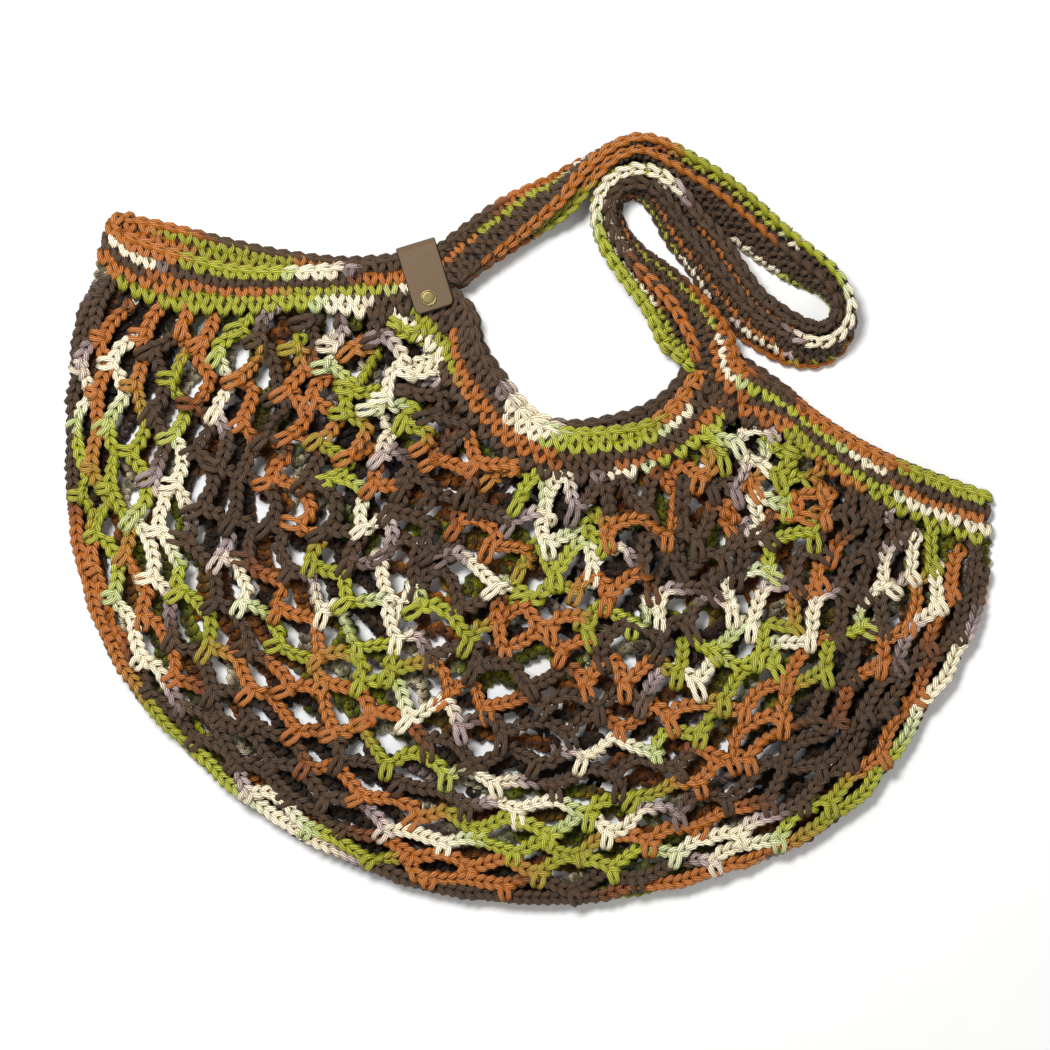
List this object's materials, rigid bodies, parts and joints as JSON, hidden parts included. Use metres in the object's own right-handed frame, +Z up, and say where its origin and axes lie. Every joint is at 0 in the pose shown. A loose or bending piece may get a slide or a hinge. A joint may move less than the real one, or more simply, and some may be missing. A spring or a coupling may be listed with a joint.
{
  "type": "crocheted mesh market bag",
  "caption": "Half-moon crocheted mesh tote lying flat, with a net body, ribbed rim bands, long handles folded to one side and a small riveted leather tag.",
  "frame": {"origin": "middle of the bag's plan, on the surface it lies on", "axes": "+X along the bag's width to the viewer's right, +Y from the net's outer curve towards the handles, +Z up out of the surface"},
  "size_m": [0.4218, 0.3481, 0.0221],
  "materials": {
    "net_yarn": "matte",
    "rim_yarn": "matte",
    "tag_leather": "satin",
    "rivet_brass": "satin"
  },
  "bodies": {
    "root": {"net_body": "net_yarn", "rim_front": "rim_yarn", "rim_back": "rim_yarn", "handle_front": "rim_yarn", "handle_back": "rim_yarn", "tag": "tag_leather", "tag_rivet": "rivet_brass"}
  },
  "joints": []
}
